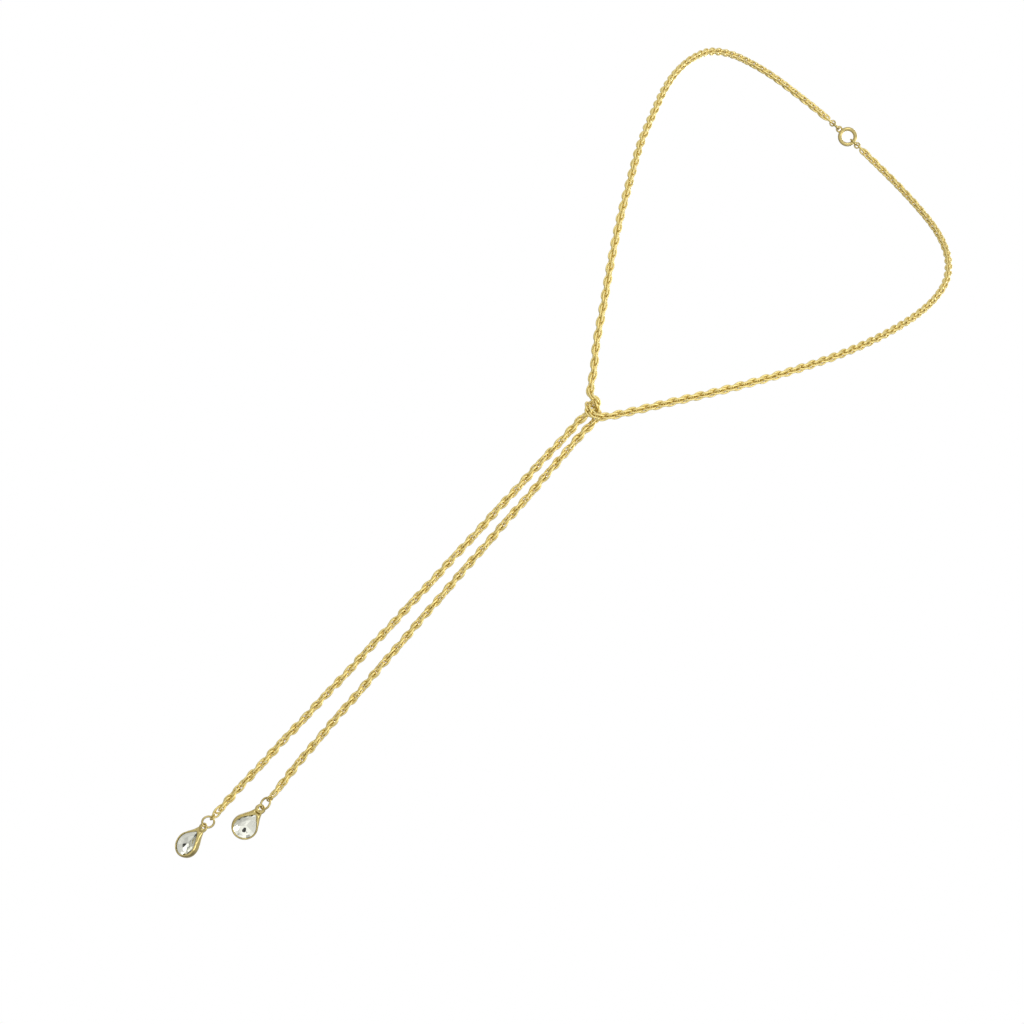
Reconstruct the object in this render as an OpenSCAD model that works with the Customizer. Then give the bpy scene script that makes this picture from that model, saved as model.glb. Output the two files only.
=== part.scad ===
// Lariat drop necklace: a rope chain loop, knotted at the front, whose two tails
// each end in a pear-shaped stone in a bezel that hangs from a jump ring.
// Millimetres. -Y is the front and +Z is up. Left and right are as seen from the
// front, with +X to the right. The origin is the middle of the nape, on the skin
// side of the clasp.

/* [Chain] */
// Outer diameter of the rope chain
chain_d = 2.4; // [2:0.1:2.4]

/* [Rings and links] */
// Mean radius of the jump ring that each drop hangs from
jump_ring_r = 2.05; // [1.9:0.05:2.2]
// Radius of a jump ring's wire
jump_wire_r = 0.38; // [0.3:0.02:0.38]
// Mean radius of the end link on each chain end
end_link_r = 1; // [0.95:0.05:1.1]
// Radius of an end link's wire
end_wire_r = 0.3; // [0.25:0.05:0.3]
// Mean radius of the two jump rings beside the clasp
clasp_ring_r = 1.5; // [1.5:0.05:1.7]
// Gap between linked rings that are pulled taut
link_gap = 0.1; // [0.05:0.01:0.15]

/* [Clasp] */
// Mean radius of the clasp's ring
clasp_r = 2.9; // [2.6:0.1:3.2]
// Radius of the clasp's round body
clasp_wire_r = 0.75; // [0.6:0.05:0.8]
// Mean radius of the clasp's eye
clasp_eye_r = 0.95; // [0.95:0.05:1.05]
// Radius of the eye's wire
clasp_eye_wire_r = 0.35; // [0.3:0.05:0.35]

/* [Stone] */
// Radius of the stone's round end
stone_r = 4; // [3.8:0.1:4.2]
// Height of the stone's point above the centre of its round end
stone_point = 6; // [5.6:0.1:6.2]
// Radius of the long arcs between the round end and the point
flank_r = 26; // [16:1:40]
// Height of the crown above the girdle
crown_h = 1.1; // [0.8:0.1:1.3]
// Thickness of the girdle
girdle_h = 0.3; // [0.2:0.05:0.4]
// Depth of the pavilion below the girdle
pavilion_h = 1.55; // [1.3:0.05:1.55]
// Size of the table as a share of the girdle
table_share = 0.56; // [0.5:0.02:0.62]

/* [Setting] */
// Thickness of the bezel's wall
bezel_wall = 0.45; // [0.4:0.05:0.5]
// Clearance between the stone's girdle and the wall
stone_gap = 0.1; // [0.08:0.01:0.12]
// How far the lip reaches over the crown's edge
lip_reach = 0.2; // [0.15:0.05:0.25]
// Depth of the bezel's wall behind the lip
wall_depth = 2.3; // [2.25:0.05:2.5]
// Thickness of the bezel's back
back_depth = 0.5; // [0.4:0.1:0.6]
// Mean radius of the loop on the setting's point
loop_r = 1.45; // [1.45:0.05:1.5]
// Radius of the loop's wire
loop_wire_r = 0.38; // [0.36:0.02:0.4]

/* [Turn of the drops] */
// Turn of the left drop's face about the vertical
left_face_turn = -38; // [-45:1:-25]
// Turn of the right drop's face about the vertical
right_face_turn = 14; // [0:1:24]
// Angle between a loop's hole and the wire that passes through it
loop_to_wire = 30; // [0:1:30]

/* [Hidden] */

GOLD = [0.86, 0.72, 0.38];
CRYSTAL = [0.86, 0.88, 0.88];
ROUND = 48;
TUBE_SIDES = 8;
OUTLINE_STEPS = 40;
STONE_STEPS = 16;
JOIN = 0.05;

// Distance between the centres of two taut links, from their mean and wire radii
function link_step(r1, w1, r2, w2) = r1 + r2 - w1 - w2 - link_gap;

// The back of the loop: clasp, rings and end links in one line along X
back_y = clasp_ring_r + jump_wire_r;
clasp_x = 0;
catch_x = clasp_x + link_step(clasp_r, clasp_wire_r, clasp_ring_r, jump_wire_r);
right_link_x = catch_x + link_step(clasp_ring_r, jump_wire_r, end_link_r, end_wire_r);
right_start_x = right_link_x + end_link_r + end_wire_r + link_gap;
eye_x = clasp_x - clasp_r - clasp_wire_r / 2 - clasp_eye_r;
eye_ring_x = eye_x - link_step(clasp_eye_r, clasp_eye_wire_r, clasp_ring_r, jump_wire_r);
left_link_x = eye_ring_x - link_step(clasp_ring_r, jump_wire_r, end_link_r, end_wire_r);
left_start_x = left_link_x - end_link_r - end_wire_r - link_gap;

// Route of the left chain: nape, side of the neck, front, elbow at the knot, tail
LEFT_ROUTE = [
    [left_start_x, back_y, 0], [-17, 0.5, -0.5], [-26, -4, -1.5], [-36, -10.5, -3],
    [-45, -19, -5.5], [-52, -29, -8.7], [-57.5, -40, -13.5], [-60, -52, -20],
    [-60.5, -64, -27.5], [-59, -77, -36], [-55.5, -90, -46], [-51, -103, -57.5],
    [-45, -113.5, -69], [-38.5, -122, -81], [-31, -128.5, -93.5], [-23, -132.5, -106],
    [-15.5, -135, -118], [-9.9, -136, -125.6], [-7.6, -136.7, -129.4],
    [-6.3, -137.2, -130.9], [-4.6, -137.6, -131.6], [-2.8, -137.6, -131.7],
    [-1.4, -137.2, -132.6], [-0.9, -136.8, -134.1], [-1.5, -136.8, -135.8],
    [-2.3, -137, -137.5], [-2.7, -137, -140], [-2.8, -137, -146],
    [-3, -137, -160], [-3.2, -137, -190], [-3.5, -137, -220], [-4, -137, -255],
    [-4.6, -137, -290], [-5, -137, -322.6]];

// Route of the right chain: the same, but it hooks round the left one's elbow at the knot
RIGHT_ROUTE = [
    [right_start_x, back_y, 0], [16, 0, -0.5], [26, -4, -1.3], [36, -10.3, -2.7],
    [45, -18.5, -4.7], [52, -28.3, -7.7], [57.5, -39.5, -12.2], [61, -51, -18.6],
    [61.7, -62, -25.7], [60.5, -74.5, -34.3], [57.5, -88, -44], [53, -101, -55],
    [47, -112.5, -67], [40, -121.5, -79], [32.5, -128, -91], [24.5, -132, -103],
    [16, -135, -115], [9, -137, -125], [5.8, -138, -129.5], [3.3, -138.8, -132.8],
    [1.3, -139.3, -134.8], [-0.8, -139.4, -135.8], [-2.7, -139.2, -135.6],
    [-3.9, -138.1, -134.8], [-4.2, -136.6, -134.1], [-3.6, -135.1, -133.5],
    [-2.3, -134.3, -133.2], [-0.7, -134.2, -133.7], [0.5, -134.5, -134.8],
    [1.05, -135.3, -136.4], [1.1, -136.2, -138.4], [0.9, -136.9, -141],
    [0.8, -137, -146], [1.2, -137, -160],
    [1.8, -137, -190], [2.4, -137, -220], [3.3, -137, -255], [4.3, -137, -290],
    [5.2, -137, -304.6]];

// Heights below a tail's end: its end link, jump ring, swing axis and loop
link_drop = link_gap + end_link_r + end_wire_r;
ring_drop = link_drop + link_step(end_link_r, end_wire_r, jump_ring_r, jump_wire_r);
axis_drop = ring_drop + jump_ring_r;
loop_drop = axis_drop + loop_r - loop_wire_r - jump_wire_r - link_gap;

// The pear outline: an arc round the origin, and two long arcs that meet at the point
flank_sin = (2 * flank_r * stone_r - stone_r * stone_r - stone_point * stone_point)
            / (2 * stone_point * (flank_r - stone_r));
flank_start = asin(flank_sin);
flank_x = (flank_r - stone_r) * cos(flank_start);
flank_y = (flank_r - stone_r) * sin(flank_start);

// Angle, seen from a flank arc's centre, at which that arc reaches the axis
function flank_end(grow) = acos(flank_x / (flank_r + grow));
// Half of the outline in steps from the bottom to the point, share 0 to 1
function round_share() = (flank_start + 90) / (flank_start + 90 + 60);
function half_point(share, grow) =
    share <= round_share()
    ? (stone_r + grow) * [cos(share / round_share() * (flank_start + 90) - 90),
                          sin(share / round_share() * (flank_start + 90) - 90)]
    : let (part = (share - round_share()) / (1 - round_share()),
           angle = flank_start + part * (flank_end(grow) - flank_start))
      [(flank_r + grow) * cos(angle) - flank_x, (flank_r + grow) * sin(angle) - flank_y];
// The whole outline, grown outwards by grow, anticlockwise from the bottom
function pear(grow, steps) = [
    for (i = [0 : steps - 1])
        let (share = i / (steps / 2))
        share <= 1 ? half_point(share, grow)
                   : let (p = half_point(2 - share, grow)) [-p[0], p[1]]];

bezel_grow = stone_gap + bezel_wall;
lip_front = 0.45;
lip_back = 0.25;
loop_depth = 1;
loop_height = stone_point + bezel_grow + loop_r;
stone_drop = loop_drop + loop_height;

function unit(v) = v / norm(v);
// Direction of a route at point i
function heading(route, i) =
    unit(route[min(i + 1, len(route) - 1)] - route[max(i - 1, 0)]);
// One sideways direction for each point, carried along the route without twist
function side_directions(route) = [
    for (i = 0, side = unit(cross(heading(route, 0), [0, 0, 1]));
         i < len(route);
         i = i + 1,
         side = i < len(route)
                ? unit(side - heading(route, i) * (side * heading(route, i)))
                : side)
        side];

// Round tube swept along a route, with one ring of corners at each point
module tube(route, diameter) {
    sides = side_directions(route);
    count = len(route);
    corners = [
        for (i = [0 : count - 1])
            let (up = cross(heading(route, i), sides[i]))
            for (k = [0 : TUBE_SIDES - 1])
                let (angle = k * 360 / TUBE_SIDES)
                route[i] + diameter / 2 * (cos(angle) * sides[i] + sin(angle) * up)];
    walls = [
        for (i = [0 : count - 2])
            for (k = [0 : TUBE_SIDES - 1])
                let (next = (k + 1) % TUBE_SIDES,
                     low = i * TUBE_SIDES,
                     high = low + TUBE_SIDES)
                each [[low + k, high + next, low + next], [low + k, high + k, high + next]]];
    first_cap = [for (k = [0 : TUBE_SIDES - 1]) k];
    last_cap = [for (k = [TUBE_SIDES - 1 : -1 : 0]) (count - 1) * TUBE_SIDES + k];
    polyhedron(points = corners, faces = concat(walls, [first_cap, last_cap]));
}

// Plain wire ring round the Z axis
module wire_ring(mean_r, wire_r) {
    rotate_extrude($fn = ROUND)
        translate([mean_r, 0])
            circle(r = wire_r, $fn = 24);
}

// Slab with the pear outline, standing upright, from depth near to depth far
module pear_slab(grow, near, far) {
    translate([0, far, 0])
        rotate([90, 0, 0])
            linear_extrude(height = far - near)
                polygon(pear(grow, OUTLINE_STEPS));
}

module chain_left() {
    color(GOLD) tube(LEFT_ROUTE, chain_d);
}

module chain_right() {
    color(GOLD) tube(RIGHT_ROUTE, chain_d);
}

// Moves to a height below the end of a route, turned about the vertical
module below_tail(route, drop, turn) {
    translate(route[len(route) - 1] - [0, 0, drop])
        rotate([0, 0, turn])
            children();
}

module end_link(route, ring_turn) {
    color(GOLD)
        below_tail(route, link_drop, ring_turn + 90)
            rotate([90, 0, 0])
                wire_ring(end_link_r, end_wire_r);
}

module jump_ring(route, ring_turn) {
    color(GOLD)
        below_tail(route, ring_drop, ring_turn)
            rotate([90, 0, 0])
                wire_ring(jump_ring_r, jump_wire_r);
}

// Bezel cup for the stone, with the loop on its point; it faces -Y
module setting() {
    difference() {
        union() {
            pear_slab(bezel_grow - 0.15, -lip_front, -lip_back);
            pear_slab(bezel_grow, -lip_back, wall_depth - lip_back);
            pear_slab(bezel_grow - 0.3, wall_depth - lip_back, wall_depth - lip_back + back_depth);
        }
        pear_slab(stone_gap, -lip_back, wall_depth - lip_back);
        pear_slab(-lip_reach, -lip_front - JOIN, -lip_back + JOIN);
    }
    translate([0, loop_depth, loop_height])
        rotate([90, 0, 0])
            wire_ring(loop_r, loop_wire_r);
}

// Corners of one level of the stone: the outline shrunk towards the middle, at a depth
STONE_MIDDLE = [0, 0.7];
function level(share, depth, every, shift) = [
    for (i = [0 : every : STONE_STEPS - 1])
        let (outline = pear(0, STONE_STEPS),
             p = shift ? (outline[i] + outline[(i + every) % STONE_STEPS]) / 2 : outline[i],
             q = STONE_MIDDLE + share * (p - STONE_MIDDLE))
        [q[0], depth, q[1]]];

// Cut stone: table, star, kite and upper facets, girdle, lower facets and point
module stone() {
    half = STONE_STEPS / 2;
    crown_mid = 0.8;
    table_level = level(table_share, -crown_h, 2, false);
    kite_level = level(crown_mid, -crown_h * 0.62, 2, true);
    top_level = level(1, 0, 1, false);
    low_level = level(1, girdle_h, 1, false);
    lower_level = level(0.45, girdle_h + pavilion_h * 0.6, 2, false);
    point = [[STONE_MIDDLE[0], girdle_h + pavilion_h, STONE_MIDDLE[1]]];
    t = 0;
    m = t + half;
    g = m + half;
    b = g + STONE_STEPS;
    p = b + STONE_STEPS;
    c = p + half;
    table = [[for (i = [0 : half - 1]) t + i]];
    stars = [for (i = [0 : half - 1]) [t + (i + 1) % half, t + i, m + i]];
    kites = [for (i = [0 : half - 1])
        let (before = m + (i + half - 1) % half, corner = g + 2 * i)
        each [[t + i, before, corner], [t + i, corner, m + i]]];
    uppers = [for (i = [0 : half - 1])
        let (corner = g + 2 * i, next = g + (2 * i + 2) % STONE_STEPS)
        each [[m + i, corner, corner + 1], [m + i, corner + 1, next]]];
    girdle = [for (i = [0 : STONE_STEPS - 1])
        let (j = (i + 1) % STONE_STEPS)
        each [[g + i, b + i, b + j], [g + i, b + j, g + j]]];
    lowers = [for (i = [0 : half - 1])
        let (corner = b + 2 * i, next = b + (2 * i + 2) % STONE_STEPS, j = (i + 1) % half)
        each [[corner, p + i, corner + 1], [corner + 1, p + j, next], [corner + 1, p + i, p + j]]];
    mains = [for (i = [0 : half - 1]) [p + i, c, p + (i + 1) % half]];
    polyhedron(
        points = concat(table_level, kite_level, top_level, low_level, lower_level, point),
        faces = concat(table, stars, kites, uppers, girdle, lowers, mains));
}

module left_end_link() {
    end_link(LEFT_ROUTE, left_face_turn + 90 - loop_to_wire);
}

module right_end_link() {
    end_link(RIGHT_ROUTE, right_face_turn - 90 + loop_to_wire);
}

module left_jump_ring() {
    jump_ring(LEFT_ROUTE, left_face_turn + 90 - loop_to_wire);
}

module right_jump_ring() {
    jump_ring(RIGHT_ROUTE, right_face_turn - 90 + loop_to_wire);
}

module left_setting() {
    color(GOLD)
        below_tail(LEFT_ROUTE, stone_drop, left_face_turn)
            translate([0, -loop_depth, 0])
                setting();
}

module right_setting() {
    color(GOLD)
        below_tail(RIGHT_ROUTE, stone_drop, right_face_turn)
            translate([0, -loop_depth, 0])
                setting();
}

module left_stone() {
    color(CRYSTAL)
        below_tail(LEFT_ROUTE, stone_drop, left_face_turn)
            translate([0, -loop_depth, 0])
                stone();
}

module right_stone() {
    color(CRYSTAL)
        below_tail(RIGHT_ROUTE, stone_drop, right_face_turn)
            translate([0, -loop_depth, 0])
                stone();
}

// Plain ring clasp, flat against the nape, with the eye that it is linked by
module clasp() {
    color(GOLD)
        translate([clasp_x, back_y, 0])
            rotate([90, 0, 0]) {
                wire_ring(clasp_r, clasp_wire_r);
                translate([eye_x - clasp_x, 0, 0])
                    wire_ring(clasp_eye_r, clasp_eye_wire_r);
            }
}

module eye_jump_ring() {
    color(GOLD)
        translate([eye_ring_x, back_y, 0])
            wire_ring(clasp_ring_r, jump_wire_r);
}

module catch_jump_ring() {
    color(GOLD)
        translate([catch_x, back_y, 0])
            wire_ring(clasp_ring_r, jump_wire_r);
}

module back_link(x) {
    color(GOLD)
        translate([x, back_y, 0])
            rotate([90, 0, 0])
                wire_ring(end_link_r, end_wire_r);
}

module left_back_link() {
    back_link(left_link_x);
}

module right_back_link() {
    back_link(right_link_x);
}

chain_left();
chain_right();
left_end_link();
right_end_link();
left_jump_ring();
right_jump_ring();
left_setting();
right_setting();
left_stone();
right_stone();
clasp();
eye_jump_ring();
catch_jump_ring();
left_back_link();
right_back_link();
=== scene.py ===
import math

import bmesh
import bpy
import numpy as np
from mathutils import Matrix, Vector


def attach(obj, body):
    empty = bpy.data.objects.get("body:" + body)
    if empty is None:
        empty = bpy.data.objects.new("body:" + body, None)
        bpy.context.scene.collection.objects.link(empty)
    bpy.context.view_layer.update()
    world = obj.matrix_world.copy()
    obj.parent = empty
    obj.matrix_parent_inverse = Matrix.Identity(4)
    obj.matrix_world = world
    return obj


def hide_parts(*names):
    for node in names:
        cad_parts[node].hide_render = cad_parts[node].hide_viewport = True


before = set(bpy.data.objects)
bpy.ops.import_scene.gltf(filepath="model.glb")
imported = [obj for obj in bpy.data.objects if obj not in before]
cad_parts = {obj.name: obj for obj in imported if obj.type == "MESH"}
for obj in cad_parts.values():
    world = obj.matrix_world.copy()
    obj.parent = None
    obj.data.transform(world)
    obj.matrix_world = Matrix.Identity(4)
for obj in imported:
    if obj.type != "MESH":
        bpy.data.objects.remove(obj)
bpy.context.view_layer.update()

MM = 0.001

# Camera: the photograph's angle, with the necklace's vertical rolled in the picture
ROLL = math.radians(42.1)
ELEVATION = math.radians(5.0)
FOCAL_PIXELS = 2985.0
FRAME_PIXELS = 1024.0
SENSOR = 36.0
CAMERA_PLACE = Vector((0.976, -1135.05, -90.94)) * MM


def add_camera():
    """The photograph's camera, which looks slightly down and is rolled about its aim."""
    forward = Vector((0, math.cos(ELEVATION), -math.sin(ELEVATION)))
    level = Vector((1, 0, 0))
    upright = level.cross(forward)
    across = level * math.cos(ROLL) + upright * math.sin(ROLL)
    up = upright * math.cos(ROLL) - level * math.sin(ROLL)
    data = bpy.data.cameras.new("camera")
    data.sensor_width = SENSOR
    data.lens = FOCAL_PIXELS * SENSOR / FRAME_PIXELS
    data.clip_start = 0.01
    camera = bpy.data.objects.new("camera", data)
    bpy.context.scene.collection.objects.link(camera)
    turn = Matrix((across, up, -forward)).transposed()
    camera.matrix_world = Matrix.Translation(CAMERA_PLACE) @ turn.to_4x4()
    bpy.context.scene.camera = camera


add_camera()

# Routes of the two chains in millimetres, the same points as in the CAD source
LEFT_ROUTE = [
    (-8.965, 1.88, 0), (-17, 0.5, -0.5), (-26, -4, -1.5), (-36, -10.5, -3),
    (-45, -19, -5.5), (-52, -29, -8.7), (-57.5, -40, -13.5), (-60, -52, -20),
    (-60.5, -64, -27.5), (-59, -77, -36), (-55.5, -90, -46), (-51, -103, -57.5),
    (-45, -113.5, -69), (-38.5, -122, -81), (-31, -128.5, -93.5), (-23, -132.5, -106),
    (-15.5, -135, -118), (-9.9, -136, -125.6), (-7.6, -136.7, -129.4),
    (-6.3, -137.2, -130.9), (-4.6, -137.6, -131.6), (-2.8, -137.6, -131.7),
    (-1.4, -137.2, -132.6), (-0.9, -136.8, -134.1), (-1.5, -136.8, -135.8),
    (-2.3, -137, -137.5), (-2.7, -137, -140), (-2.8, -137, -146),
    (-3, -137, -160), (-3.2, -137, -190), (-3.5, -137, -220), (-4, -137, -255),
    (-4.6, -137, -290), (-5, -137, -322.6),
]
RIGHT_ROUTE = [
    (6.29, 1.88, 0), (16, 0, -0.5), (26, -4, -1.3), (36, -10.3, -2.7),
    (45, -18.5, -4.7), (52, -28.3, -7.7), (57.5, -39.5, -12.2), (61, -51, -18.6),
    (61.7, -62, -25.7), (60.5, -74.5, -34.3), (57.5, -88, -44), (53, -101, -55),
    (47, -112.5, -67), (40, -121.5, -79), (32.5, -128, -91), (24.5, -132, -103),
    (16, -135, -115), (9, -137, -125), (5.8, -138, -129.5), (3.3, -138.8, -132.8),
    (1.3, -139.3, -134.8), (-0.8, -139.4, -135.8), (-2.7, -139.2, -135.6),
    (-3.9, -138.1, -134.8), (-4.2, -136.6, -134.1), (-3.6, -135.1, -133.5),
    (-2.3, -134.3, -133.2), (-0.7, -134.2, -133.7), (0.5, -134.5, -134.8),
    (1.05, -135.3, -136.4), (1.1, -136.2, -138.4), (0.9, -136.9, -141),
    (0.8, -137, -146), (1.2, -137, -160),
    (1.8, -137, -190), (2.4, -137, -220), (3.3, -137, -255), (4.3, -137, -290),
    (5.2, -137, -304.6),
]

# Rope chain: oval wire rings, linked and twisted; the free tails hang less twisted.
# Lengths are in millimetres, a twist is the length of one turn, and angles are in radians.
HAND = -1
RING_STEP = 1.5665
LOOP_TWIST = 9.4
TAIL_TWIST = 11.0
TAIL_HEIGHTS = (-150.0, -130.0)
RING_WIRE = 0.35
RING_SHORT = 1.07
RING_LONG = 2.124
RING_OFFSET = 0.076
RING_LEAN = 0.188
RING_ROLL = -1.491
RING_INSET = 0.95
RING_CORNERS = 28
WIRE_SIDES = 10

# Measures of the CAD parts, in millimetres; the turns are in degrees
JUMP_RING_R = 2.05
JUMP_WIRE_R = 0.38
END_LINK_R = 1.0
END_WIRE_R = 0.3
NAPE_RING_R = 1.5
CLASP_R = 2.9
CLASP_WIRE_R = 0.75
CLASP_EYE_R = 0.95
CLASP_EYE_WIRE_R = 0.35
LINK_GAP = 0.1
STONE_R = 4.0
STONE_POINT = 6.0
FLANK_R = 26.0
LOOP_R = 1.45
LOOP_WIRE_R = 0.38
EYE_R = 0.66
BEZEL_GROW = 0.55
LOOP_DEPTH = 1.0
LOOP_HEIGHT = STONE_POINT + BEZEL_GROW + LOOP_R
LEFT_TURN = -38.0
RIGHT_TURN = 14.0
LOOP_TO_WIRE = 30.0


def link_step(ring_r, wire_r, next_ring_r, next_wire_r):
    """How far apart the middles of two linked rings are when they hang taut."""
    return ring_r + next_ring_r - wire_r - next_wire_r - LINK_GAP


# Middles of the linked parts, down from the end of a tail
LINK_DROP = LINK_GAP + END_LINK_R + END_WIRE_R
RING_DROP = LINK_DROP + link_step(END_LINK_R, END_WIRE_R, JUMP_RING_R, JUMP_WIRE_R)
LOOP_DROP = RING_DROP + link_step(JUMP_RING_R, JUMP_WIRE_R, LOOP_R, LOOP_WIRE_R)
STONE_DROP = LOOP_DROP + LOOP_HEIGHT

# Middles of the linked parts along the nape, to both sides of the clasp
NAPE_Y = NAPE_RING_R + JUMP_WIRE_R
NAPE_STEP = link_step(NAPE_RING_R, JUMP_WIRE_R, END_LINK_R, END_WIRE_R)
CATCH_RING_X = link_step(CLASP_R, CLASP_WIRE_R, NAPE_RING_R, JUMP_WIRE_R)
CLASP_EYE_X = -CLASP_R - CLASP_WIRE_R / 2 - CLASP_EYE_R
EYE_RING_X = CLASP_EYE_X - link_step(CLASP_EYE_R, CLASP_EYE_WIRE_R, NAPE_RING_R, JUMP_WIRE_R)


def add_piece(name, points, faces, body, materials, replaced, smooth=True, slots=None):
    """A mesh from points in millimetres, which rides on a body and stands for CAD nodes."""
    mesh = bpy.data.meshes.new(name)
    mesh.from_pydata([tuple(p) for p in np.asarray(points) * MM], [], faces)
    mesh.update()
    piece = bpy.data.objects.new(name, mesh)
    bpy.context.scene.collection.objects.link(piece)
    for material in materials:
        mesh.materials.append(material)
    mesh.polygons.foreach_set("use_smooth", [smooth] * len(mesh.polygons))
    if slots is not None:
        mesh.polygons.foreach_set("material_index", slots)
    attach(piece, body)
    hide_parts(*replaced)
    return piece


def unit(vectors):
    return vectors / np.linalg.norm(vectors, axis=-1, keepdims=True)


def smooth_route(route, steps=40):
    """Points on one smooth curve through the route's points, with their distances along it."""
    points = np.array(route, float)
    chords = np.linalg.norm(np.diff(points, axis=0), axis=1)[:, None]
    slopes = np.diff(points, axis=0) / chords
    tangents = np.empty_like(points)
    tangents[0], tangents[-1] = slopes[0], slopes[-1]
    tangents[1:-1] = slopes[:-1] * chords[1:] + slopes[1:] * chords[:-1]
    tangents[1:-1] /= chords[:-1] + chords[1:]
    t = np.linspace(0, 1, steps, endpoint=False)[:, None]
    pieces = []
    for i in range(len(points) - 1):
        pieces.append(
            (2 * t**3 - 3 * t**2 + 1) * points[i]
            + (t**3 - 2 * t**2 + t) * tangents[i] * chords[i]
            + (3 * t**2 - 2 * t**3) * points[i + 1]
            + (t**3 - t**2) * tangents[i + 1] * chords[i]
        )
    curve = np.concatenate(pieces + [points[-1:]])
    distance = np.concatenate([[0], np.cumsum(np.linalg.norm(np.diff(curve, axis=0), axis=1))])
    return curve, distance


class Rail:
    """A curve with two sideways directions carried along it without twist."""

    def __init__(self, route):
        self.curve, self.distance = smooth_route(route)
        self.length = self.distance[-1]
        heading = unit(np.gradient(self.curve, axis=0))
        side = np.cross(heading[0], (0, 0, 1))
        sides = []
        for direction in heading:
            side = side - direction * np.dot(side, direction)
            side = side / np.linalg.norm(side)
            sides.append(side)
        self.heading = heading
        self.side = np.array(sides)

    def spread(self, values, at):
        return np.stack([np.interp(at, self.distance, values[:, k]) for k in range(3)], axis=-1)

    def angle_of(self, direction, at):
        """Angle of a direction round the curve, from the first sideways direction."""
        side = self.spread(self.side, at)
        other = np.cross(self.spread(self.heading, at), side)
        return math.atan2(np.dot(direction, other), np.dot(direction, side))

    def bend(self, local):
        """Bends points given as sideways x, sideways y and distance along onto the curve."""
        along = local[..., 2]
        inside = np.clip(along, 0, self.length)
        heading = unit(self.spread(self.heading, inside))
        side = self.spread(self.side, inside)
        side = unit(side - heading * np.sum(side * heading, axis=-1, keepdims=True))
        other = np.cross(heading, side)
        return (
            self.spread(self.curve, inside)
            + heading * (along - inside)[..., None]
            + side * local[..., 0:1]
            + other * local[..., 1:2]
        )


def ring_centreline(along, angle):
    """One rope ring before bending: an oval that leans against the twist of its strand."""
    out = np.array((math.cos(angle), math.sin(angle), 0))
    sideways = HAND * np.array((-math.sin(angle), math.cos(angle), 0))
    long_axis = math.cos(RING_LEAN) * np.array((0, 0, 1)) + math.sin(RING_LEAN) * sideways
    short_axis = math.cos(RING_ROLL) * out + math.sin(RING_ROLL) * HAND * np.cross(out, long_axis)
    theta = np.linspace(0, 2 * math.pi, RING_CORNERS, endpoint=False)[:, None]
    centre = RING_OFFSET * out + np.array((0, 0, along))
    return centre + RING_SHORT * np.cos(theta) * short_axis + RING_LONG * np.sin(theta) * long_axis


def closed_wires(loops, wire_r, sides):
    """Round wire along closed loops of points; returns points and faces."""
    loops = np.asarray(loops)
    count, corners = loops.shape[:2]
    heading = unit(np.roll(loops, -1, 1) - np.roll(loops, 1, 1))
    middle = loops.mean(axis=1, keepdims=True)
    normal = unit(np.cross(loops - middle, heading).mean(axis=1, keepdims=True))
    side = unit(np.cross(heading, np.broadcast_to(normal, heading.shape)))
    over = np.cross(side, heading)
    turn = np.linspace(0, 2 * math.pi, sides, endpoint=False)
    points = (
        loops[:, :, None]
        + wire_r * np.cos(turn)[:, None] * side[:, :, None]
        + wire_r * np.sin(turn)[:, None] * over[:, :, None]
    ).reshape(-1, 3)
    i, k = np.meshgrid(np.arange(corners), np.arange(sides), indexing="ij")
    a = (i * sides + k).ravel()
    b = (i * sides + (k + 1) % sides).ravel()
    c = ((i + 1) % corners * sides + (k + 1) % sides).ravel()
    d = ((i + 1) % corners * sides + k).ravel()
    quads = np.stack([a, d, c, b], axis=-1)
    shifts = np.arange(count)[:, None, None] * corners * sides
    return points, (quads[None] + shifts).reshape(-1, 4).tolist()


def rope(name, route, node, last_link_turn):
    """Rings along a route; the first and the last one lie open to the end links they hold."""
    rail = Rail(route)
    count = int((rail.length - 2 * RING_INSET) / RING_STEP) + 1
    along = np.linspace(RING_INSET, rail.length - RING_INSET, count)
    turn = math.radians(last_link_turn)
    first = rail.angle_of((0, 1, 0), along[0]) + HAND * RING_ROLL
    last = rail.angle_of((-math.sin(turn), math.cos(turn), 0), along[-1]) + HAND * RING_ROLL
    heights = np.interp(along, rail.distance, rail.curve[:, 2])
    twist_length = np.interp(heights, TAIL_HEIGHTS, (TAIL_TWIST, LOOP_TWIST))
    twist = HAND * 2 * math.pi * np.cumsum((along[1] - along[0]) / twist_length)
    twist -= twist[0]
    # Every other ring lies half a turn round, and the twist left over is spread over them all
    missing = (last - first - twist[-1] - math.pi * ((count - 1) % 2)) % math.pi
    missing -= math.pi if missing > math.pi / 2 else 0
    loops = []
    for i in range(count):
        angle = first + twist[i] + missing * i / (count - 1) + math.pi * (i % 2)
        loops.append(rail.bend(ring_centreline(along[i], angle)))
    points, faces = closed_wires(loops, RING_WIRE, WIRE_SIDES)
    return add_piece(name, points, faces, "necklace", [ROPE_GOLD], [node])


def node_tree(name):
    material = bpy.data.materials.new(name)
    material.use_nodes = True
    tree = material.node_tree
    return material, tree, tree.nodes["Principled BSDF"]


def noise(tree, place, scale, detail):
    """A noise texture that stays on the object's surface."""
    texture = tree.nodes.new("ShaderNodeTexNoise")
    texture.inputs["Scale"].default_value = scale
    texture.inputs["Detail"].default_value = detail
    tree.links.new(place.outputs["Object"], texture.inputs["Vector"])
    return texture


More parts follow.
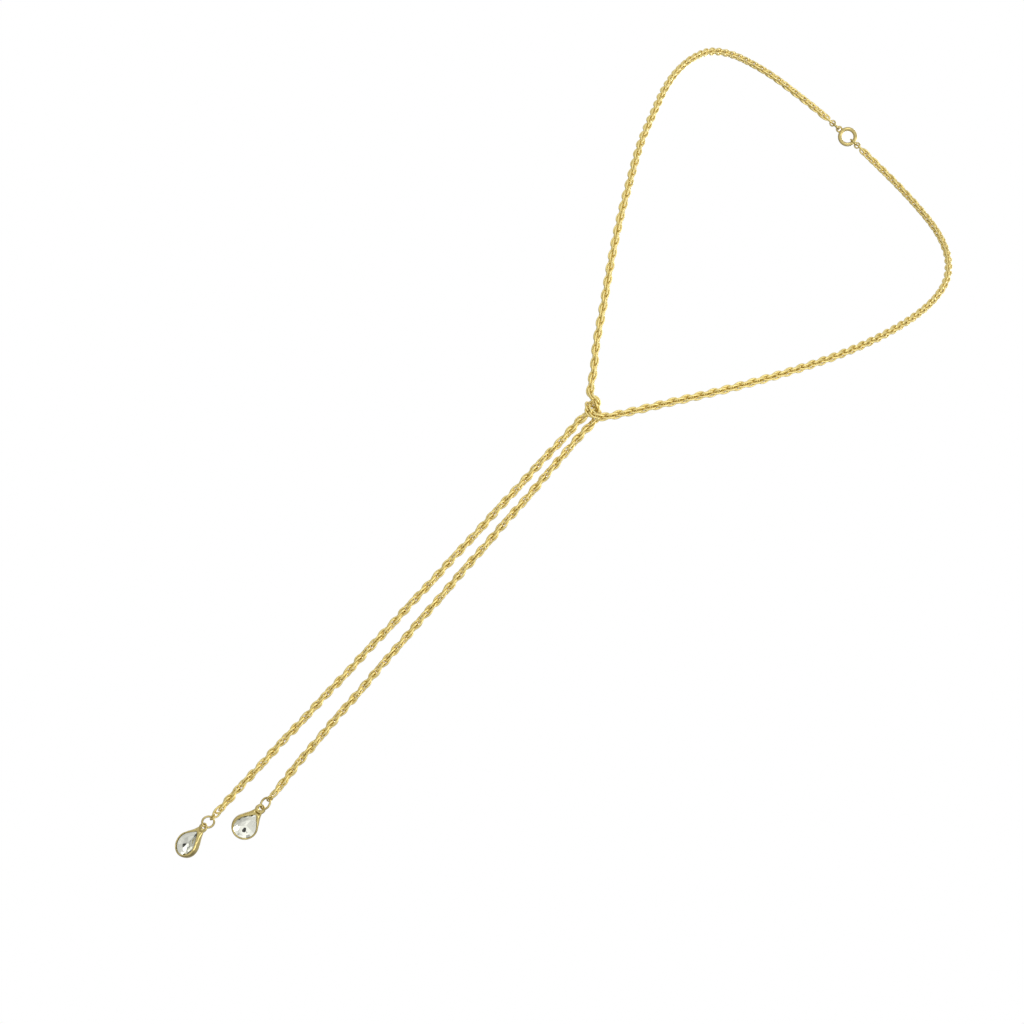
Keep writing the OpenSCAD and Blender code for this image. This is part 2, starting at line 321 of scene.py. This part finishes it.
def tinted(tree, shader, cloud, colour, darkest, span):
    """Colours a surface in clouds, from a darker shade of the colour up to the colour."""
    tint = tree.nodes.new("ShaderNodeValToRGB")
    for element, position, level in zip(tint.color_ramp.elements, span, (darkest, 1)):
        element.position = position
        element.color = (*[c * level for c in colour], 1)
    tree.links.new(cloud.outputs["Fac"], tint.inputs["Fac"])
    tree.links.new(tint.outputs["Color"], shader.inputs["Base Color"])


METAL_CLOUD_SCALE = 420
METAL_CLOUD_SPAN = (0.3, 0.7)
METAL_DARKEST = 0.93
ROUGHNESS_SPREAD = (0.75, 1.3)
SCRATCH_SCALE = 2600
SCRATCH_STRENGTH = 0.06
SCRATCH_DEPTH = 0.00004
GLASS_CLOUD_SCALE = 700
GLASS_CLOUD_SPAN = (0.35, 0.65)
GLASS_DARKEST = 0.97
GLASS_IOR = 1.25


def metal(name, colour, roughness):
    """Polished plating with faint clouds in its colour and polish, and fine scratches."""
    material, tree, shader = node_tree(name)
    place = tree.nodes.new("ShaderNodeTexCoord")
    cloud = noise(tree, place, METAL_CLOUD_SCALE, detail=3)
    tinted(tree, shader, cloud, colour, METAL_DARKEST, METAL_CLOUD_SPAN)
    rough = tree.nodes.new("ShaderNodeMapRange")
    rough.inputs["From Min"].default_value = METAL_CLOUD_SPAN[0]
    rough.inputs["From Max"].default_value = METAL_CLOUD_SPAN[1]
    rough.inputs["To Min"].default_value = roughness * ROUGHNESS_SPREAD[0]
    rough.inputs["To Max"].default_value = roughness * ROUGHNESS_SPREAD[1]
    tree.links.new(cloud.outputs["Fac"], rough.inputs["Value"])
    tree.links.new(rough.outputs["Result"], shader.inputs["Roughness"])
    shader.inputs["Metallic"].default_value = 1
    scratch = noise(tree, place, SCRATCH_SCALE, detail=2)
    bump = tree.nodes.new("ShaderNodeBump")
    bump.inputs["Strength"].default_value = SCRATCH_STRENGTH
    bump.inputs["Distance"].default_value = SCRATCH_DEPTH
    tree.links.new(scratch.outputs["Fac"], bump.inputs["Height"])
    tree.links.new(bump.outputs["Normal"], shader.inputs["Normal"])
    return material


def clear_glass(name, colour):
    """Clear cut glass, faintly uneven in tint."""
    material, tree, shader = node_tree(name)
    place = tree.nodes.new("ShaderNodeTexCoord")
    cloud = noise(tree, place, GLASS_CLOUD_SCALE, detail=2)
    tinted(tree, shader, cloud, colour, GLASS_DARKEST, GLASS_CLOUD_SPAN)
    shader.inputs["Roughness"].default_value = 0
    shader.inputs["IOR"].default_value = GLASS_IOR
    shader.inputs["Transmission Weight"].default_value = 1
    return material


ROPE_COLOUR = (0.88, 0.73, 0.30)
# The rings and the bezels take a darker copy of the rope's pale gold: painted shade, where they
# look darker in the light than the rope
SHADED_PLAIN_COLOUR = (0.60, 0.49, 0.20)
ROPE_GOLD = metal("pale_gold_rope", ROPE_COLOUR, 0.38)
RING_GOLD = metal("pale_gold_rings", SHADED_PLAIN_COLOUR, 0.2)
SETTING_GOLD = metal("pale_gold_setting", SHADED_PLAIN_COLOUR, 0.16)
GLASS = clear_glass("cut_glass", (0.98, 0.99, 0.97))
FOIL = metal("silver_foil", (0.93, 0.93, 0.845), 0.05)


# Weight of a flank against the angle of the round bottom, when samples are shared out
FLANK_WEIGHT = math.radians(60)


def half_outline(grow, samples):
    """Half of the pear outline in x and z, from the bottom to the point, grown by grow."""
    sine = 2 * FLANK_R * STONE_R - STONE_R**2 - STONE_POINT**2
    sine /= 2 * STONE_POINT * (FLANK_R - STONE_R)
    start = math.asin(sine)
    middle = (FLANK_R - STONE_R) * np.array((math.cos(start), math.sin(start)))
    end = math.acos(middle[0] / (FLANK_R + grow))
    share = np.linspace(0, 1, samples)
    turn = (start + math.pi / 2) / (start + math.pi / 2 + FLANK_WEIGHT)
    low = np.interp(share, (0, turn), (-math.pi / 2, start))
    high = np.interp(share, (turn, 1), (start, end))
    low_x, low_z = (STONE_R + grow) * np.cos(low), (STONE_R + grow) * np.sin(low)
    high_x, high_z = (FLANK_R + grow) * np.cos(high), (FLANK_R + grow) * np.sin(high)
    half = np.stack([low_x, low_z], axis=-1)
    half[share > turn] = np.stack([high_x - middle[0], high_z - middle[1]], axis=-1)[share > turn]
    return half


def whole_outline(half):
    """Both halves, anticlockwise from the bottom."""
    other = half[-2:0:-1] * (-1, 1)
    return np.concatenate([half, other])


def resample(points, samples):
    """The same curve in even steps."""
    curve, distance = smooth_route([(x, 0, z) for x, z in points])
    at = np.linspace(0, distance[-1], samples)
    return np.stack([np.interp(at, distance, curve[:, k]) for k in (0, 2)], axis=-1)


# Bezel, in millimetres about the middle of the stone's round end, with depth to the back
OUTLINE_HALF = 64
LIP_REACH = 0.2
SHOULDER_SHARE = 0.7
# Outline in x and z from the shoulder to under the loop
NECK_OUTLINE = [
    (3.25, 3.5), (2.8, 4.25), (2.3, 5.1), (1.92, 5.9), (1.66, 6.6), (1.45, 7.12),
    (1.1, 7.15), (0.75, 6.95), (0.35, 6.85), (0, 6.82),
]
# How much of the thickness the neck keeps, by the share of the way up the outline
NECK_SHARES = (0, 0.72, 0.9, 1)
NECK_THICKNESS = (1, 1, 0.45, 0.2)
# Rows of the cup from its middle to its mouth: growth of the stone's outline, and depth
CUP_ROWS = [
    (-3.9, 2.05), (-3, 2.05), (-1.5, 2.05), (-0.75, 2.05), (-0.5, 2.05), (-0.42, 1.97),
    (-0.2, 1.45), (0, 1.0), (0.07, 0.7), (0.07, 0.3), (0.07, 0.05),
]
# Rows over the lip and down the wall: share of the way from the lip's edge out, and depth
WALL_ROWS = [
    (0, -0.08), (0.06, -0.2), (0.14, -0.31), (0.23, -0.39), (0.33, -0.44), (0.43, -0.45),
    (0.54, -0.42), (0.66, -0.34), (0.78, -0.21), (0.88, -0.05), (0.95, 0.13), (1, 0.35),
    (1, 0.55), (0.99, 0.87), (0.94, 1.27), (0.85, 1.67), (0.73, 1.97), (0.62, 2.14),
    (0.5, 2.25), (0.36, 2.31), (0.2, 2.345), (0.05, 2.37),
]
# Rows of the crowned back from its edge to its middle, as in the cup
BACK_ROWS = [
    (-0.5, 2.415), (-1, 2.46), (-1.5, 2.495), (-2.2, 2.525), (-3, 2.545), (-3.9, 2.55),
]


def bezel_rows():
    """Closed rows round the bezel, from the middle of its floor over the lip to its back."""
    inner = half_outline(-LIP_REACH, OUTLINE_HALF)
    outer = half_outline(BEZEL_GROW, OUTLINE_HALF)
    shoulder = int(OUTLINE_HALF * SHOULDER_SHARE)
    neck = [tuple(outer[shoulder])] + NECK_OUTLINE
    outer[shoulder:] = resample(neck, OUTLINE_HALF - shoulder)
    way_up = np.arange(OUTLINE_HALF) / (OUTLINE_HALF - 1)
    slim = np.interp(way_up, NECK_SHARES, NECK_THICKNESS)
    rows = []

    def add_row(half, depth):
        depth = np.broadcast_to(depth, (len(half),))
        both = whole_outline(half)
        depths = np.concatenate([depth, depth[-2:0:-1]])
        rows.append(np.stack([both[:, 0], depths, both[:, 1]], axis=-1))

    for grow, depth in CUP_ROWS:
        add_row(half_outline(grow, OUTLINE_HALF), depth)
    for share, depth in WALL_ROWS:
        squeezed = LOOP_DEPTH + (depth - LOOP_DEPTH) * slim
        add_row(inner + share * (outer - inner), depth + share**2 * (squeezed - depth))
    for grow, depth in BACK_ROWS:
        add_row(half_outline(grow, OUTLINE_HALF), depth)
    return rows


def lofted(rows):
    """A closed skin over rows of points, with a middle point at each end."""
    count = len(rows[0])
    points = np.concatenate(rows + [rows[0].mean(0)[None], rows[-1].mean(0)[None]])
    first, last = len(points) - 2, len(points) - 1
    faces = []
    for i in range(len(rows) - 1):
        for k in range(count):
            low, high, turn = i * count, (i + 1) * count, (k + 1) % count
            faces.append((low + k, low + turn, high + turn, high + k))
    for k in range(count):
        turn, top = (k + 1) % count, (len(rows) - 1) * count
        faces.append((first, turn, k))
        faces.append((last, top + k, top + turn))
    return points, faces


def wire_ring(mean_r, wire_r, corners=72, sides=20):
    """A closed wire ring in the x-z plane."""
    theta = np.linspace(0, 2 * math.pi, corners, endpoint=False)
    loop = np.stack([mean_r * np.cos(theta), 0 * theta, mean_r * np.sin(theta)], axis=-1)
    return closed_wires([loop], wire_r, sides)


def eye_loop(corners=72, sides=20):
    """The loop on a bezel: a round eye set high in a round ring, in the x-z plane."""
    theta = np.linspace(0, 2 * math.pi, corners, endpoint=False)
    round_about = np.stack([np.cos(theta), 0 * theta, np.sin(theta)], axis=-1)
    outer = (LOOP_R + LOOP_WIRE_R) * round_about
    inner = EYE_R * round_about + (0, 0, LOOP_R - LOOP_WIRE_R - EYE_R)
    across = (outer - inner) / 2
    turn = np.linspace(0, 2 * math.pi, sides, endpoint=False)[:, None]
    rows = (outer + inner)[:, None] / 2 + np.cos(turn) * across[:, None]
    rows = rows + np.sin(turn) * np.array((0, LOOP_WIRE_R, 0))
    i, k = np.meshgrid(np.arange(corners), np.arange(sides), indexing="ij")
    low, high = i * sides, (i + 1) % corners * sides
    quads = np.stack([low + k, high + k, high + (k + 1) % sides, low + (k + 1) % sides], axis=-1)
    return rows.reshape(-1, 3), quads.reshape(-1, 4).tolist()


# Cut of a jump ring: its width, then the angle from its faces and the share of the wire's
# radius where they are eased, and the angle from which the wire is plain
RING_CUT = 0.05
CUT_EASE = [(0.0, 0.72), (0.012, 0.9), (0.035, 1.0)]
CUT_CLEAR = 0.08


def open_ring(mean_r, wire_r, cut_angle, corners=84, sides=20):
    """A wire ring in the x-z plane, cut through once as a jump ring is; its ends are eased."""
    half = RING_CUT / 2 / mean_r
    start, end = cut_angle + half, cut_angle - half
    stations = [(start + shift, share) for shift, share in CUT_EASE]
    for angle in np.linspace(start + CUT_CLEAR, end - CUT_CLEAR + 2 * math.pi, corners):
        stations.append((angle, 1.0))
    stations += [(end - shift + 2 * math.pi, share) for shift, share in CUT_EASE[::-1]]
    rows = []
    turn = np.linspace(0, 2 * math.pi, sides, endpoint=False)
    for angle, share in stations:
        out = np.array((math.cos(angle), 0, math.sin(angle)))
        centre = mean_r * out
        ring = np.cos(turn)[:, None] * out + np.sin(turn)[:, None] * np.array((0, 1, 0))
        rows.append(centre + wire_r * share * ring)
    return lofted(rows)


def turned(points, degrees):
    """Points turned about the vertical."""
    angle = math.radians(degrees)
    cosine, sine = math.cos(angle), math.sin(angle)
    turn = np.array([(cosine, -sine, 0), (sine, cosine, 0), (0, 0, 1)])
    return np.asarray(points) @ turn.T


def below_tail(points, route, drop, degrees):
    """Points turned about the vertical and hung below the end of a route."""
    return turned(points, degrees) + np.array(route[-1]) - (0, 0, drop)


def fuse(piece, points, faces):
    """Joins one more closed shape onto a piece, as one body."""
    mesh = bpy.data.meshes.new("addition")
    mesh.from_pydata([tuple(p) for p in np.asarray(points) * MM], [], faces)
    addition = bpy.data.objects.new("addition", mesh)
    bpy.context.scene.collection.objects.link(addition)
    outward(mesh)
    joint = piece.modifiers.new("join", "BOOLEAN")
    joint.operation = "UNION"
    joint.solver = "EXACT"
    joint.object = addition
    depsgraph = bpy.context.evaluated_depsgraph_get()
    whole = bpy.data.meshes.new_from_object(piece.evaluated_get(depsgraph))
    piece.modifiers.clear()
    piece.data = whole
    bpy.data.objects.remove(addition)
    whole.polygons.foreach_set("use_smooth", [True] * len(whole.polygons))


def outward(mesh):
    """Turns all faces of a closed mesh outwards."""
    shape = bmesh.new()
    shape.from_mesh(mesh)
    bmesh.ops.recalc_face_normals(shape, faces=shape.faces)
    shape.to_mesh(mesh)
    shape.free()


# Edges of a fused metal piece that are sharper than this stay crisp
SHARP_ANGLE = math.radians(50)


def setting(name, route, degrees, body, node):
    """A bezel with its loop, turned to where its drop faces."""
    points, faces = lofted(bezel_rows())
    points = below_tail(points + (0, -LOOP_DEPTH, 0), route, STONE_DROP, degrees)
    piece = add_piece(name, points, faces, body, [SETTING_GOLD], [node])
    outward(piece.data)
    points, faces = eye_loop()
    points = below_tail(points + (0, 0, LOOP_HEIGHT), route, STONE_DROP, degrees)
    fuse(piece, points, faces)
    piece.data.set_sharp_from_angle(angle=SHARP_ANGLE)
    return piece


# Stone: corners on shares of its outline about its middle, and heights in millimetres
STONE_STEPS = 16
STONE_MIDDLE = np.array((0, 0.7))
TABLE_SHARE = 0.56
STAR_SHARE = 0.8
STAR_HEIGHT_SHARE = 0.62
CROWN_H = 0.75
GIRDLE_H = 0.3
# Rows of the foiled back: share of the outline, height behind the girdle, steps to a corner
FOIL_ROWS = [(0.75, 0.12, 1), (0.45, 0.38, 2), (0.2, 0.5355, 2)]
FOIL_MIDDLE_H = 0.6


def stone_row(share, depth, every, between=False):
    """A row of corners round the stone, at every so many steps of its outline."""
    outline = whole_outline(half_outline(0, STONE_STEPS // 2 + 1))
    points = []
    for i in range(0, STONE_STEPS, every):
        corner = outline[i]
        if between:
            corner = (corner + outline[(i + every) % STONE_STEPS]) / 2
        x, z = STONE_MIDDLE + share * (corner - STONE_MIDDLE)
        points.append((x, depth, z))
    return points


def stone(name, route, degrees, body, node):
    """Pear brilliant: clear crown facets in front, foiled facets behind."""
    half = STONE_STEPS // 2
    points = stone_row(TABLE_SHARE, -CROWN_H, 2)
    points += stone_row(STAR_SHARE, -CROWN_H * STAR_HEIGHT_SHARE, 2, between=True)
    points += stone_row(1, 0, 1)
    points += stone_row(1, GIRDLE_H, 1)
    for share, height, every in FOIL_ROWS:
        points += stone_row(share, GIRDLE_H + height, every)
    points += [(STONE_MIDDLE[0], GIRDLE_H + FOIL_MIDDLE_H, STONE_MIDDLE[1])]
    # First corner of each row behind the table, and the tip of the back
    star = half
    girdle = star + half
    edge = girdle + STONE_STEPS
    outer = edge + STONE_STEPS
    middle = outer + STONE_STEPS
    inner = middle + half
    tip = inner + half
    front = [tuple(range(half))]
    back = []
    for i in range(half):
        j = (i + 1) % half
        before = star + (i + half - 1) % half
        corner, after = girdle + 2 * i, girdle + (2 * i + 2) % STONE_STEPS
        front += [(j, i, star + i), (i, before, corner, star + i)]
        front += [(star + i, corner, corner + 1), (star + i, corner + 1, after)]
        corner, after = outer + 2 * i, outer + (2 * i + 2) % STONE_STEPS
        back += [(corner, middle + i, corner + 1), (corner + 1, middle + j, after)]
        back.append((corner + 1, middle + i, middle + j))
        back += [(middle + i, inner + i, inner + j, middle + j), (inner + i, tip, inner + j)]
    for i in range(STONE_STEPS):
        j = (i + 1) % STONE_STEPS
        back += [(girdle + i, edge + i, edge + j, girdle + j)]
        back += [(edge + i, outer + i, outer + j, edge + j)]
    faces = front + back
    slots = [0] * len(front) + [1] * len(back)
    placed = below_tail(np.array(points) + (0, -LOOP_DEPTH, 0), route, STONE_DROP, degrees)
    piece = add_piece(name, placed, faces, body, [GLASS, FOIL], [node], False, slots)
    outward(piece.data)
    return piece


def ring_piece(name, shape, place, degrees, node, flat=False):
    """A ring of the necklace, upright or laid flat, turned about the vertical."""
    points, faces = shape
    if flat:
        points = points[:, (0, 2, 1)] * (1, -1, 1)
    points = turned(points, degrees) + place
    piece = add_piece(name, points, faces, "necklace", [RING_GOLD], [node])
    outward(piece.data)
    return piece


def tail_ring(name, shape, route, drop, degrees, node):
    """A ring whose middle hangs below the end of a route."""
    return ring_piece(name, shape, np.array(route[-1]) - (0, 0, drop), degrees, node)


JUMP_CUT_ANGLE = math.radians(150)
NAPE_CUT_ANGLE = math.radians(-90)
# Each jump ring's wire passes through its bezel's loop at the angle LOOP_TO_WIRE
LEFT_RING_TURN = LEFT_TURN + 90 - LOOP_TO_WIRE
RIGHT_RING_TURN = RIGHT_TURN - 90 + LOOP_TO_WIRE
rope("rope_left", LEFT_ROUTE, "chain_left", LEFT_RING_TURN + 90)
rope("rope_right", RIGHT_ROUTE, "chain_right", RIGHT_RING_TURN + 90)
for side, route, face_turn, ring_turn in (
    ("left", LEFT_ROUTE, LEFT_TURN, LEFT_RING_TURN),
    ("right", RIGHT_ROUTE, RIGHT_TURN, RIGHT_RING_TURN),
):
    link = wire_ring(END_LINK_R, END_WIRE_R)
    tail_ring(side + "_tail_link", link, route, LINK_DROP, ring_turn + 90, side + "_end_link")
    ring = open_ring(JUMP_RING_R, JUMP_WIRE_R, JUMP_CUT_ANGLE)
    tail_ring(side + "_drop_ring", ring, route, RING_DROP, ring_turn, side + "_jump_ring")
    setting(side + "_bezel", route, face_turn, side + "_drop", side + "_setting")
    stone(side + "_cut_stone", route, face_turn, side + "_drop", side + "_stone")


def clasp_group():
    """The plain clasp at the nape, with the ring and the end link on each side of it."""
    for side, ring_x, link_x, node in (
        ("left", EYE_RING_X, EYE_RING_X - NAPE_STEP, "eye_jump_ring"),
        ("right", CATCH_RING_X, CATCH_RING_X + NAPE_STEP, "catch_jump_ring"),
    ):
        link = wire_ring(END_LINK_R, END_WIRE_R)
        ring_piece(side + "_nape_link", link, (link_x, NAPE_Y, 0), 0, side + "_back_link")
        ring = open_ring(NAPE_RING_R, JUMP_WIRE_R, NAPE_CUT_ANGLE)
        ring_piece(side + "_nape_ring", ring, (ring_x, NAPE_Y, 0), 0, node, True)
    shape = wire_ring(CLASP_R, CLASP_WIRE_R, corners=96, sides=32)
    clasp = ring_piece("plain_clasp", shape, (0, NAPE_Y, 0), 0, "clasp")
    points, faces = wire_ring(CLASP_EYE_R, CLASP_EYE_WIRE_R)
    fuse(clasp, points + (CLASP_EYE_X, NAPE_Y, 0), faces)
    clasp.data.set_sharp_from_angle(angle=SHARP_ANGLE)


clasp_group()

# Light of the studio from straight below to straight above: place on the ramp, and level
STUDIO_LEVELS = [(0.0, 0.26), (0.34, 0.31), (0.46, 0.47), (0.58, 0.68), (1.0, 0.9)]
# Soft patches in it, bright and dark, in degrees: azimuth from the front and height, outer and
# inner half width, and the gain, which is under 1 where the patch is dark
SOFT_PATCHES = [
    ((0, -30), 70, 30, 1.95),
    ((10, -48), 55, 30, 1.35),
    ((180, 0), 110, 50, 0.95),
    ((180, -22), 60, 30, 1.7),
    ((19.5, 5.5), 7.5, 4.5, 0.04),
    ((-68, 2), 6.5, 3.5, 0.04),
    ((3, 6), 7, 3, 0.42),
    ((28, 11), 6, 3, 0.4),
    ((-92, -1), 18, 12, 2.5),
    ((-78, -30), 26, 14, 1.8),
    ((58, -30), 30, 15, 1.5),
]


def patched(tree, place, light, aim, wide, core, gain):
    """The studio's light with one patch in it scaled by a gain."""
    azimuth, height = math.radians(aim[0]), math.radians(aim[1])
    facing = tree.nodes.new("ShaderNodeVectorMath")
    facing.operation = "DOT_PRODUCT"
    facing.inputs[1].default_value = (
        math.sin(azimuth) * math.cos(height),
        -math.cos(azimuth) * math.cos(height),
        math.sin(height),
    )
    tree.links.new(place.outputs["Generated"], facing.inputs[0])
    patch = tree.nodes.new("ShaderNodeMapRange")
    patch.interpolation_type = "SMOOTHSTEP"
    patch.inputs["From Min"].default_value = math.cos(math.radians(wide))
    patch.inputs["From Max"].default_value = math.cos(math.radians(core))
    patch.inputs["To Min"].default_value = 1
    patch.inputs["To Max"].default_value = gain
    tree.links.new(facing.outputs["Value"], patch.inputs["Value"])
    product = tree.nodes.new("ShaderNodeVectorMath")
    product.operation = "SCALE"
    tree.links.new(light, product.inputs[0])
    tree.links.new(patch.outputs["Result"], product.inputs["Scale"])
    return product.outputs["Vector"]


def add_world():
    """A soft studio, darker below, with its bright and dark patches."""
    scene = bpy.context.scene
    world = bpy.data.worlds.new("studio")
    scene.world = world
    world.use_nodes = True
    tree = world.node_tree
    place = tree.nodes.new("ShaderNodeTexCoord")
    axes = tree.nodes.new("ShaderNodeSeparateXYZ")
    tree.links.new(place.outputs["Generated"], axes.inputs["Vector"])
    ramp = tree.nodes.new("ShaderNodeValToRGB")
    fit = tree.nodes.new("ShaderNodeMapRange")
    fit.inputs["From Min"].default_value = -1
    fit.inputs["From Max"].default_value = 1
    tree.links.new(axes.outputs["Z"], fit.inputs["Value"])
    tree.links.new(fit.outputs["Result"], ramp.inputs["Fac"])
    elements = ramp.color_ramp.elements
    while len(elements) < len(STUDIO_LEVELS):
        elements.new(0.5)
    for element, (position, level) in zip(elements, STUDIO_LEVELS):
        element.position = position
        element.color = (level, level, level, 1)
    light = ramp.outputs["Color"]
    for aim, wide, core, gain in SOFT_PATCHES:
        light = patched(tree, place, light, aim, wide, core, gain)
    tree.links.new(light, tree.nodes["Background"].inputs["Color"])
    scene.view_settings.view_transform = "Standard"


def add_light(name, place, target, size, power):
    """A soft area light that the camera doesn't see, aimed at a target."""
    data = bpy.data.lights.new(name, "AREA")
    data.shape = "RECTANGLE"
    data.size, data.size_y = size
    data.energy = power
    light = bpy.data.objects.new(name, data)
    light.location = place
    light.rotation_euler = (Vector(target) - Vector(place)).to_track_quat("-Z", "Y").to_euler()
    light.visible_camera = False
    bpy.context.scene.collection.objects.link(light)


def add_floor():
    """A pale floor that sweeps up all round. Only the camera sees it, so it casts no light."""
    floor_z, wall_z, inner, outer, sides, steps = -1.6, 3.2, 2.0, 3.2, 96, 16
    bend = outer - inner
    profile = []
    for i in range(steps + 1):
        angle = math.pi / 2 * i / steps
        profile.append((inner + bend * math.sin(angle), floor_z + bend * (1 - math.cos(angle))))
    profile.append((outer, wall_z))
    points = [(0, 0, floor_z)]
    for radius, height in profile:
        for k in range(sides):
            angle = 2 * math.pi * k / sides
            points.append((radius * math.cos(angle), radius * math.sin(angle), height))
    points.append((0, 0, wall_z))
    faces = [(0, 1 + (k + 1) % sides, 1 + k) for k in range(sides)]
    rows = len(profile)
    for i in range(rows - 1):
        for k in range(sides):
            low, high, turn = 1 + i * sides, 1 + (i + 1) * sides, (k + 1) % sides
            faces.append((low + k, low + turn, high + turn, high + k))
    last, top = 1 + (rows - 1) * sides, len(points) - 1
    faces += [(top, last + k, last + (k + 1) % sides) for k in range(sides)]
    mesh = bpy.data.meshes.new("floor")
    mesh.from_pydata(points, [], faces)
    mesh.polygons.foreach_set("use_smooth", [True] * len(mesh.polygons))
    material = bpy.data.materials.new("pale_floor")
    material.use_nodes = True
    tree = material.node_tree
    tree.nodes.remove(tree.nodes["Principled BSDF"])
    glow = tree.nodes.new("ShaderNodeEmission")
    glow.inputs["Color"].default_value = (1, 1, 1, 1)
    glow.inputs["Strength"].default_value = 1.0
    tree.links.new(glow.outputs["Emission"], tree.nodes["Material Output"].inputs["Surface"])
    mesh.materials.append(material)
    floor = bpy.data.objects.new("floor", mesh)
    for sight in ("diffuse", "glossy", "transmission", "volume_scatter", "shadow"):
        setattr(floor, "visible_" + sight, False)
    bpy.context.scene.collection.objects.link(floor)


FRONT_TARGET = (0, -0.13, -0.2)
BACK_TARGET = (0, -0.05, -0.15)
add_world()
add_floor()
add_light("key", (-0.5, -1.1, 0.7), FRONT_TARGET, (0.5, 0.5), 1.9)
add_light("fill", (0.9, -0.8, 0.2), FRONT_TARGET, (0.4, 0.9), 3.5)
add_light("rear", (0.4, 1.3, 0.3), BACK_TARGET, (0.9, 0.9), 14)
